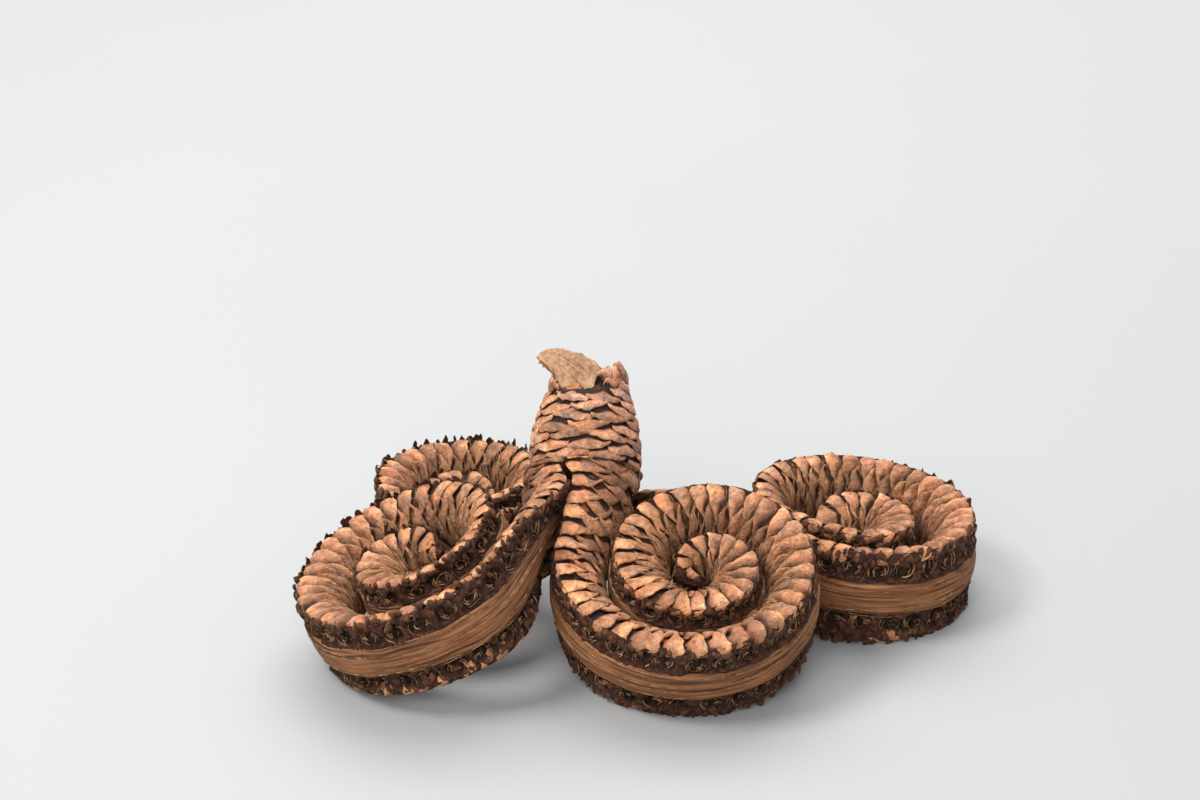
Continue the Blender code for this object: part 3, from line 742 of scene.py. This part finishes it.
def fine_hairs(path, rng, first, last, count, size):
    """Thin hairs that lie over the scales of the concave wall."""
    lines = []
    steps = np.linspace(0, 1, 5)
    for _ in range(count):
        begin = rng.uniform(first, last)
        a = rng.uniform(-0.75, 0.75)
        run = rng.normal(0, 1.3) * MM
        turn = rng.choice((-1, 1)) * rng.uniform(0.08, 0.42)
        height = (0.35 + rng.uniform(0.1, 0.9) * np.sin(math.pi * steps * rng.uniform(0.5, 1.0))) * MM
        s = np.clip(begin + run * steps + 0.8 * MM * np.sin(4 * steps + begin * 3000), 0, path.length)
        lines.append(path.arc(s, np.clip(a + turn * steps, -1, 1), height))
    return tubes(np.array(lines), rng.uniform(0.6, 1.3, count) * size)


def loose_strands(path, rng):
    """Long thin strands that lie on the wood of one arm."""
    lines, radii = [], []
    steps = np.linspace(0, 1, 14)
    for _ in range(STRANDS_PER_ARM):
        begin = rng.uniform(10 * MM, path.length - 40 * MM)
        length = rng.uniform(10, 42) * MM
        s = begin + length * steps
        w = rng.uniform(-1.05, 1.05) + rng.normal(0, 0.10) * steps + 0.03 * np.sin(9 * steps + begin * 900)
        flat, wide = path.shape(s)[:2]
        lift = (0.55 * (1 - np.clip(w, -1, 1)**2) + 0.12 + 0.3 * rng.random() * steps**4) * MM
        depth = 0.25 * MM - lift * flat + (1 - flat) * CORE_RADIUS
        lines.append(path.place(s, depth, w * STRIP_HALF_WIDTH * 1.03 * path.read(path.width_factor, s)))
        radii.append(rng.uniform(0.09, 0.20) * MM)
    return tubes(np.array(lines), radii)


def stub_wood(rng):
    """Core of the trunk's top and the broken stem stub."""
    top = SLIT_TOP + AXIS * (TRUNK_LENGTH - STUB_DROP)
    stub = unit(STUB_DIRECTION)
    sideways = unit(np.cross(stub, AXIS))
    # Millimetres up and out, the way the wood runs as shares of up and out, half width and half thickness
    stations = (
        (-5.0, 0.5, 1.0, 0.3, 1.15, 1.4),
        (-1.5, 1.0, 1.0, 0.6, 1.15, 1.62),
        (2.8, 2.7, 1.0, 1.0, 1.15, 1.60),
        (5.2, 5.0, 0.63, 1.0, 1.1, 1.40),
        (7.2, 8.0, 0.24, 1.0, 1.0, 1.16),
        (8.4, 11.3, -0.39, 1.0, 0.9, 0.92),
        (7.3, STUB_LENGTH / MM + 0.5, -1.15, 1.0, 0.80, 0.80),
    )
    up, out, way_up, way_out, wides, thins = np.array(stations).T[..., None]
    places = top + AXIS * up * MM + stub * out * MM
    ways = units(way_up * AXIS + way_out * stub)
    fine = np.linspace(0, len(stations) - 1, 44)
    centre = np.stack([through(places[:, k], fine) for k in range(3)], axis=1)
    along = units(np.stack([through(ways[:, k], fine) for k in range(3)], axis=1))
    wide, thin = through(wides[:, 0], fine), through(thins[:, 0], fine)
    angle = np.linspace(0, 2 * math.pi, 40, endpoint=False)
    flat = units(sideways - (along @ sideways)[:, None] * along)
    other = np.cross(along, flat)
    run = np.concatenate([[0.0], np.cumsum(np.linalg.norm(np.diff(centre, axis=0), axis=1))])
    grain = np.ones((len(fine), len(angle)))
    for _ in range(STUB_GROOVES):
        middle = rng.uniform(0, 2 * math.pi) + 0.10 * wander(run, rng, 9 * MM)
        gap = np.angle(np.exp(1j * (angle[None] - middle[:, None])))
        grain -= rng.uniform(0.02, 0.07) * np.exp(-(gap / rng.uniform(0.05, 0.13))**2)
    grain += 0.030 * wander(angle[None] * 2 + run[:, None] * 250, rng, 2.4)
    grain += 0.028 * wander(angle[None] * 3 - run[:, None] * 600, rng, 2.0)
    round_x = np.sign(np.cos(angle)) * np.abs(np.cos(angle))**STUB_SQUARENESS
    round_y = np.sign(np.sin(angle)) * np.abs(np.sin(angle))**STUB_SQUARENESS
    points = (centre[:, None] + CORE_RADIUS * grain[..., None]
              * (wide[:, None, None] * round_x[None, :, None] * flat[:, None]
                 + thin[:, None, None] * round_y[None, :, None] * other[:, None]))
    # Broken end: a slanting cut with small nicks, then a shallow rough face
    uneven = 0.30 * MM * wander(angle * 3, rng, 2.6) + 0.10 * MM * wander(angle * 9, rng, 2.2)
    points[-1] += uneven[:, None] * along[-1]
    points[-2] += 0.5 * uneven[:, None] * along[-1]
    rings = [points]
    for inward, sunk in ((0.90, -0.15), (0.72, 0.25), (0.4, 0.5), (0.04, 0.5)):
        ring = centre[-1] + (points[-1] - centre[-1]) * inward
        depth = sunk * MM * (1 + 0.5 * wander(angle * 5, rng, 2.0))
        rings.append((ring - along[-1] * depth[:, None])[None])
    ring = np.concatenate(rings)
    broken = np.zeros(ring.shape[:2])
    broken[len(fine) - 3:] = 1.0
    columns = len(angle)
    run = np.concatenate([run, np.full(4, run[-1])])
    grain_along = np.repeat(run, columns)
    grain_across = np.tile(angle * CORE_RADIUS, len(ring))
    # How far the surface sinks into a groove, from which it is painted darker as shade; the broken face gets
    # a little of it.
    groove = np.concatenate([np.clip((1 - grain) * 6, 0, 1), np.full((4, columns), 0.3)]).ravel()
    return ((ring - LAYOUT_MIDDLE).reshape(-1, 3), grid_faces(len(ring), columns, closed=True),
            {"grain_along": grain_along, "grain_across": grain_across, "groove": groove,
             "broken": broken.ravel()})


class Nodes:
    """A material's node tree, built one node at a time."""

    def __init__(self, name):
        self.material = bpy.data.materials.new(name)
        self.material.use_nodes = True
        self.tree = self.material.node_tree
        self.surface = self.tree.nodes["Principled BSDF"]
        self.position = self.add("ShaderNodeTexCoord").outputs["Object"]

    def add(self, kind, **values):
        """New node with its properties set."""
        node = self.tree.nodes.new(kind)
        for key, value in values.items():
            setattr(node, key, value)
        return node

    def link(self, output, target):
        """Feeds an output into an input."""
        self.tree.links.new(output, target)

    def feed(self, socket, value):
        """Gives an input an output, a colour or a number."""
        if isinstance(value, bpy.types.NodeSocket):
            self.link(value, socket)
        elif isinstance(value, tuple):
            socket.default_value = (*value, 1.0)
        else:
            socket.default_value = value

    def attribute(self, name):
        """Value of a mesh attribute."""
        return self.add("ShaderNodeAttribute", attribute_name=name).outputs["Fac"]

    def number(self, operation, first, second=0.0, third=0.0, clamp=False):
        """Result of a sum with numbers or outputs."""
        node = self.add("ShaderNodeMath", operation=operation, use_clamp=clamp)
        for socket, value in zip(node.inputs, (first, second, third)):
            self.feed(socket, value)
        return node.outputs[0]

    def times(self, first, second, **options):
        """Product of two numbers or outputs."""
        return self.number("MULTIPLY", first, second, **options)

    def scaled(self, value, factor, offset):
        """Value times a factor, plus an offset."""
        return self.number("MULTIPLY_ADD", value, factor, offset)

    def noise(self, scale, detail=3.0, roughness=0.55, vector=None):
        """Noise from 0 to 1 round 0.5, over the object's own place in metres unless a vector is given."""
        node = self.add("ShaderNodeTexNoise")
        node.inputs["Scale"].default_value = scale
        node.inputs["Detail"].default_value = detail
        node.inputs["Roughness"].default_value = roughness
        self.link(vector or self.position, node.inputs["Vector"])
        return node.outputs["Fac"]

    def ramp(self, value, stops):
        """Colour from a value by stops of (place, (red, green, blue))."""
        node = self.add("ShaderNodeValToRGB")
        elements = node.color_ramp.elements
        while len(elements) < len(stops):
            elements.new(0.5)
        for element, (place, colour) in zip(elements, stops):
            element.position = place
            element.color = (*colour, 1.0)
        self.link(value, node.inputs[0])
        return node.outputs[0]

    def step(self, value, low, high):
        """0 below low, 1 above high, as a colour."""
        return self.ramp(value, ((low, (0.0, 0.0, 0.0)), (high, (1.0, 1.0, 1.0))))

    def mix(self, factor, first, second, kind="MIX"):
        """Blend of two colours."""
        node = self.add("ShaderNodeMix", data_type="RGBA", blend_type=kind)
        for socket, value in ((node.inputs[0], factor), (node.inputs[6], first), (node.inputs[7], second)):
            self.feed(socket, value)
        return node.outputs[2]

    def bump(self, heights, strength, distance):
        """Relief from an output, fed to the surface."""
        node = self.add("ShaderNodeBump")
        node.inputs["Strength"].default_value = strength
        node.inputs["Distance"].default_value = distance
        self.link(heights, node.inputs["Height"])
        self.link(node.outputs[0], self.surface.inputs["Normal"])

    def finish(self, colour, roughness):
        """Sets the surface's colour and roughness."""
        self.link(colour, self.surface.inputs["Base Color"])
        self.feed(self.surface.inputs["Roughness"], roughness)
        self.surface.inputs["Specular IOR Level"].default_value = 0.28
        return self.material


def scale_material(name, brightness, greyness, tint=(1.0, 1.0, 1.0)):
    """Dry scales: roots painted near black as shade under the scale over them, purple-grey middles,
    orange-brown flanks and edges, the middle of the arc darker, partly with painted shade, pale specks.
    """
    n = Nodes(name)
    broad = n.noise(130.0, 3.0)
    patch = n.noise(38.0, 2.0)
    stain = n.noise(330.0, 4.0, 0.7)
    fine = n.noise(900.0, 4.0, 0.65)
    grit = n.noise(2600.0, 3.0, 0.7)
    reach = n.attribute("reach")
    tone = n.attribute("tone")
    side = n.number("ABSOLUTE", n.attribute("side"))
    wobble = n.scaled(broad, 0.30, -0.15)
    along = n.number("ADD", reach, wobble)
    # Colour along each scale: the near-black and dark brown stops at the root are painted shade under the
    # scale that lies over it, and the lowered reach of the underside paints shade under the tip; the
    # orange-brown further out is the scale's own colour.
    body = n.ramp(along, (
        (0.03, (0.016, 0.007, 0.004)),
        (0.13, (0.130, 0.054, 0.029)),
        (0.28, (0.330, 0.142, 0.068)),
        (0.62, (0.480, 0.212, 0.098)),
        (0.97, (0.600, 0.285, 0.128)),
    ))
    grey = n.step(n.noise(230.0, 3.0), 0.43, 0.56)
    middle = n.times(grey, n.number("SUBTRACT", 1.0, n.number("POWER", side, 2.0)))
    grown = n.times(middle, n.times(along, greyness), clamp=True)
    body = n.mix(grown, body, (0.235, 0.150, 0.125))
    rust = n.step(n.noise(150.0, 4.0), 0.48, 0.62)
    body = n.mix(n.times(rust, 0.65), body, (0.330, 0.115, 0.046))
    # Darker brown towards the middle of the arc, away from the rims: partly the walls' own darker brown,
    # partly painted shade on the concave wall.
    wall = n.number("SUBTRACT", 1.0, n.attribute("rim"))
    body = n.mix(n.times(wall, 0.85), body, (0.105, 0.044, 0.021))
    light = n.scaled(tone, 0.55 * brightness, 0.60 * brightness)
    light = n.times(light, n.scaled(fine, 1.10, 0.50))
    light = n.times(light, n.scaled(patch, 0.50, 0.78))
    light = n.times(light, n.number("MAXIMUM", n.scaled(stain, 2.90, -0.42), 0.30))
    shade = n.add("ShaderNodeCombineColor")
    for socket, share in zip(shade.inputs, tint):
        n.link(n.times(light, share), socket)
    body = n.mix(1.0, body, shade.outputs[0], "MULTIPLY")
    speck = n.step(grit, 0.66, 0.78)
    body = n.mix(n.times(speck, 0.35), body, (0.62, 0.40, 0.25))
    rough = n.scaled(fine, 0.30, 0.50)
    relief = n.scaled(fine, 0.9, n.times(grit, 0.5))
    n.bump(n.scaled(stain, 1.8, relief), 1.0, 0.0014)
    return n.finish(body, rough)


def core_material():
    """Body between and under the scales: near-black fibrous brown, which is painted shade in the cracks
    between the scales; on the cut face reddish walls, and pits painted darker as shade in the hollows.
    """
    n = Nodes("pod_body")
    fine = n.noise(700.0, 4.0, 0.65)
    grit = n.noise(1900.0, 3.0, 0.7)
    pit = n.attribute("pit")
    cut = n.attribute("cut")
    wall = n.ramp(fine, (
        (0.30, (0.010, 0.003, 0.002)),
        (0.50, (0.040, 0.013, 0.006)),
        (0.70, (0.140, 0.052, 0.021)),
    ))
    # Pits darker than the walls round them: painted shade in the hollows.
    hollow = n.ramp(fine, (
        (0.35, (0.007, 0.004, 0.003)),
        (0.62, (0.038, 0.018, 0.011)),
        (0.80, (0.130, 0.062, 0.033)),
    ))
    face = n.mix(pit, wall, hollow)
    # Away from the cut face the body shows only in the cracks between scales, and its near-black brown there
    # is painted shade.
    body = n.mix(cut, n.mix(fine, (0.008, 0.004, 0.003), (0.040, 0.019, 0.011)), face)
    n.bump(n.scaled(fine, 0.8, n.times(grit, 0.4)), 0.9, 0.0006)
    return n.finish(body, 0.85)


def grain_vector(n, along_scale, across_scale):
    """Coordinates that follow the grain of the wood."""
    join = n.add("ShaderNodeCombineXYZ")
    n.link(n.times(n.attribute("grain_along"), along_scale), join.inputs[0])
    n.link(n.times(n.attribute("grain_across"), across_scale), join.inputs[1])
    return join.outputs[0]


def wood_material(name, warm):
    """Bare fibrous wood: long tan and brown streaks, grooves painted darker with their depth as shade, fine
    lines of grain.
    """
    n = Nodes(name)
    broad = n.noise(1.0, 3.0, 0.6, grain_vector(n, 45.0, 700.0))
    fine = n.noise(1.0, 4.0, 0.7, grain_vector(n, 110.0, 4200.0))
    patch = n.noise(60.0, 2.0)
    groove = n.attribute("groove")
    streak = n.number("ADD", n.times(broad, 0.6), n.times(fine, 0.4))
    body = n.ramp(streak, (
        (0.36, (0.055, 0.017, 0.007)),
        (0.46, (0.210, 0.077, 0.028)),
        (0.57, (0.415, 0.178, 0.068)),
        (0.72, (0.670, 0.350, 0.145)),
    ))
    body = n.mix(n.times(patch, warm), body, (0.165, 0.070, 0.034))
    # Darker with each groove's depth, and darkest on the hidden back: painted shade in the grooves.
    body = n.mix(n.times(groove, 0.85), body, (0.035, 0.015, 0.008))
    n.bump(n.scaled(fine, 0.8, n.times(broad, 0.6)), 0.8, 0.0005)
    return n.finish(body, 0.74)


def stub_material():
    """Weathered wood of the stub: pale tan with fine brown grain, painted shade in its sunk grooves, the cut
    end yellower.
    """
    n = Nodes("stub_wood")
    fine = n.noise(1.0, 4.0, 0.7, grain_vector(n, 160.0, 2600.0))
    broad = n.noise(220.0, 3.0)
    groove = n.attribute("groove")
    spot = n.noise(800.0, 4.0, 0.7)
    value = n.number("ADD", n.times(fine, 0.35), n.times(broad, 0.30))
    value = n.number("ADD", value, n.times(spot, 0.35))
    body = n.ramp(value, (
        (0.36, (0.085, 0.038, 0.020)),
        (0.46, (0.300, 0.160, 0.088)),
        (0.56, (0.470, 0.270, 0.150)),
        (0.68, (0.620, 0.400, 0.230)),
    ))
    # Darker where the surface sinks into its grooves: painted shade.
    body = n.mix(n.times(groove, 0.75), body, (0.110, 0.050, 0.026))
    body = n.mix(n.times(n.attribute("broken"), 0.75), body, (0.540, 0.330, 0.150))
    n.bump(n.scaled(fine, 0.6, spot), 0.9, 0.0007)
    return n.finish(body, 0.8)


def fibre_material(name, pale):
    """Tan to dark brown fibres; pale lightens all of them."""
    n = Nodes(name)
    tone = n.attribute("tone")
    speckle = n.noise(420.0, 2.0)
    value = n.scaled(speckle, 1.4, n.scaled(n.attribute("reach"), 0.25, -0.34 + pale))
    body = n.ramp(value, (
        (0.22, (0.045, 0.019, 0.009)),
        (0.45, (0.215, 0.098, 0.043)),
        (0.70, (0.540, 0.310, 0.140)),
    ))
    body = n.mix(n.times(tone, 0.15), body, (0.30, 0.16, 0.09))
    return n.finish(body, 0.6)


def floor_material():
    """Pale matt sweep."""
    n = Nodes("pale_sweep")
    cloud = n.noise(3.0, 2.0)
    body = n.ramp(cloud, ((0.3, (0.338, 0.340, 0.340)), (0.7, (0.346, 0.347, 0.347))))
    return n.finish(body, 0.75)


def make_pod():
    """All pieces of the pod."""
    scales = scale_material("dry_scales", 1.55, 0.62)
    bark = scale_material("trunk_scales", 1.44, 0.85, (1.0, 1.07, 1.20))
    torn = scale_material("torn_scales", 0.30, 0.40, (1.0, 0.90, 0.80))
    core = core_material()
    wood = wood_material("strip_wood", 0.55)
    fibre = fibre_material("pit_fibre", 0.0)
    hair = fibre_material("fine_hair", 0.16)
    for number, (name, arm) in enumerate(ARMS.items()):
        path = ArmPath(arm)
        rng = np.random.default_rng(SEED + 10 * number)
        # One seed for the body and its fibres, so that the fibres lie in the pits
        pit_seed = SEED + 10 * number + 1
        end = path.length - 4 * MM
        thick = 0.085 * MM if name == "front_left" else 0.07 * MM
        make_piece(f"{name}_scales", *arm_scales(path, rng), "bract_body", scales)
        make_piece(f"{name}_body", *arm_core(path, np.random.default_rng(pit_seed)), "bract_body", core)
        make_piece(f"{name}_wood", *strip_wood(path, rng), "woody_axis", wood)
        make_piece(f"{name}_fibres", *pit_fibres(path, np.random.default_rng(pit_seed)), "bract_body", fibre)
        make_piece(f"{name}_strands", *loose_strands(path, rng), "woody_axis", fibre)
        make_piece(f"{name}_flakes", *rim_flakes(path, rng, UPPER_FLAKES[name]), "bract_body", torn)
        hairs = fine_hairs(path, rng, 0.35 * end, end, HAIRS_PER_ARM, thick)
        make_piece(f"{name}_hairs", *hairs, "bract_body", hair)
    rng = np.random.default_rng(SEED + 90)
    make_piece("trunk_scales", *trunk_scales(rng), "bract_body", bark)
    make_piece("trunk_body", *trunk_core(), "bract_body", core)
    make_piece("torn_collar", *torn_collar(rng), "bract_body", bark)
    make_piece("stem_stub", *stub_wood(rng), "woody_axis", stub_material())


def softbox(name, place, aim, size, power, colour=(1.0, 1.0, 1.0)):
    """Soft rectangular light at a place, aimed at a point."""
    data = bpy.data.lights.new(name, "AREA")
    data.shape = "RECTANGLE"
    data.size, data.size_y = size
    data.energy = power
    data.color = colour
    lamp = bpy.data.objects.new(name, data)
    lamp.location = place
    lamp.rotation_euler = (Vector(aim) - Vector(place)).to_track_quat("-Z", "Y").to_euler()
    bpy.context.scene.collection.objects.link(lamp)


def make_stage():
    """Pale sweep, soft lights and the camera at the photograph's angle."""
    bpy.ops.mesh.primitive_plane_add(size=6.0, location=(0, 0, 0))
    floor = bpy.context.object
    floor.name = "floor"
    floor.data.materials.append(floor_material())

    world = bpy.data.worlds.new("studio")
    world.use_nodes = True
    world.node_tree.nodes["Background"].inputs[0].default_value = (0.93, 0.96, 1.0, 1.0)
    world.node_tree.nodes["Background"].inputs[1].default_value = 0.65
    bpy.context.scene.world = world

    softbox("key", (-0.60, -0.20, 0.95), (0.0, 0.0, 0.02), (0.40, 0.35), 9.0, (1.0, 0.985, 0.96))
    softbox("top", (0.0, 0.6, 1.3), (0.0, 0.2, 0.0), (1.4, 0.9), 14.0)
    softbox("fill", (-0.25, -1.1, 0.75), (0.0, 0.0, 0.03), (0.9, 0.7), 10.5)
    softbox("sweep", (0.0, 1.05, 0.95), (0.0, 0.6, 0.0), (1.8, 0.6), 13.0)
    bpy.context.scene.view_settings.view_transform = "Standard"

    data = bpy.data.cameras.new("camera")
    data.lens = LENS
    data.sensor_width = SENSOR
    camera = bpy.data.objects.new("camera", data)
    back = Vector((0.0, -math.cos(ELEVATION), math.sin(ELEVATION)))
    camera.location = LOOK_AT + back * CAMERA_DISTANCE
    camera.rotation_euler = (-back).to_track_quat("-Z", "Y").to_euler()
    bpy.context.scene.collection.objects.link(camera)
    bpy.context.scene.camera = camera


make_pod()
make_stage()
